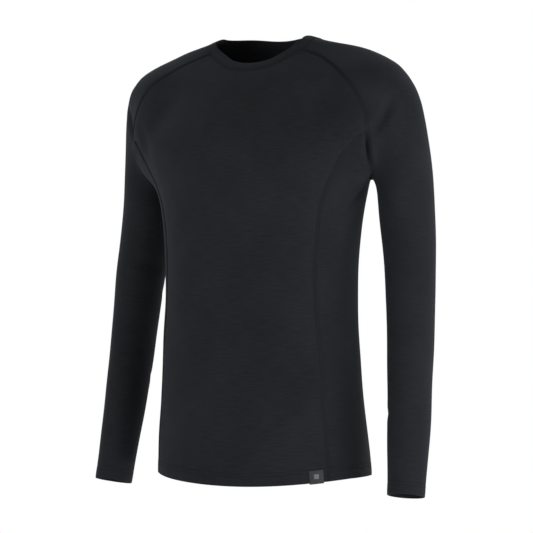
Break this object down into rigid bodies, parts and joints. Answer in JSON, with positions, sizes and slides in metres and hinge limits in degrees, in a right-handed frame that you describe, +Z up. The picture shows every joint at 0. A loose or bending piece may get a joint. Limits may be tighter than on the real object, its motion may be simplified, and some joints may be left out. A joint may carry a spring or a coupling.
{
  "type": "base layer top",
  "caption": "Long-sleeved crew-neck base layer top in fine knit with raglan sleeves, side panels and a narrow neckband, filled out as worn.",
  "frame": {"origin": "middle of the neck opening, on the line between the two highest points of the shoulders beside the neck, where the wearer's shoulders carry the garment", "axes": "+Z up the wearer's body, -Y to the front, +X to the wearer's left"},
  "size_m": [0.5902, 0.2418, 0.7207],
  "materials": {
    "jersey": "charcoal fine-gauge jersey knit",
    "neckband_jersey": "the same jersey, folded double",
    "label_tape": "woven satin tape, black"
  },
  "bodies": {
    "root": {"front": "jersey", "back": "jersey", "side_panel_left": "jersey", "side_panel_right": "jersey", "sleeve_left": "jersey", "sleeve_right": "jersey", "neckband": "neckband_jersey", "hem_label": "label_tape"}
  },
  "joints": []
}
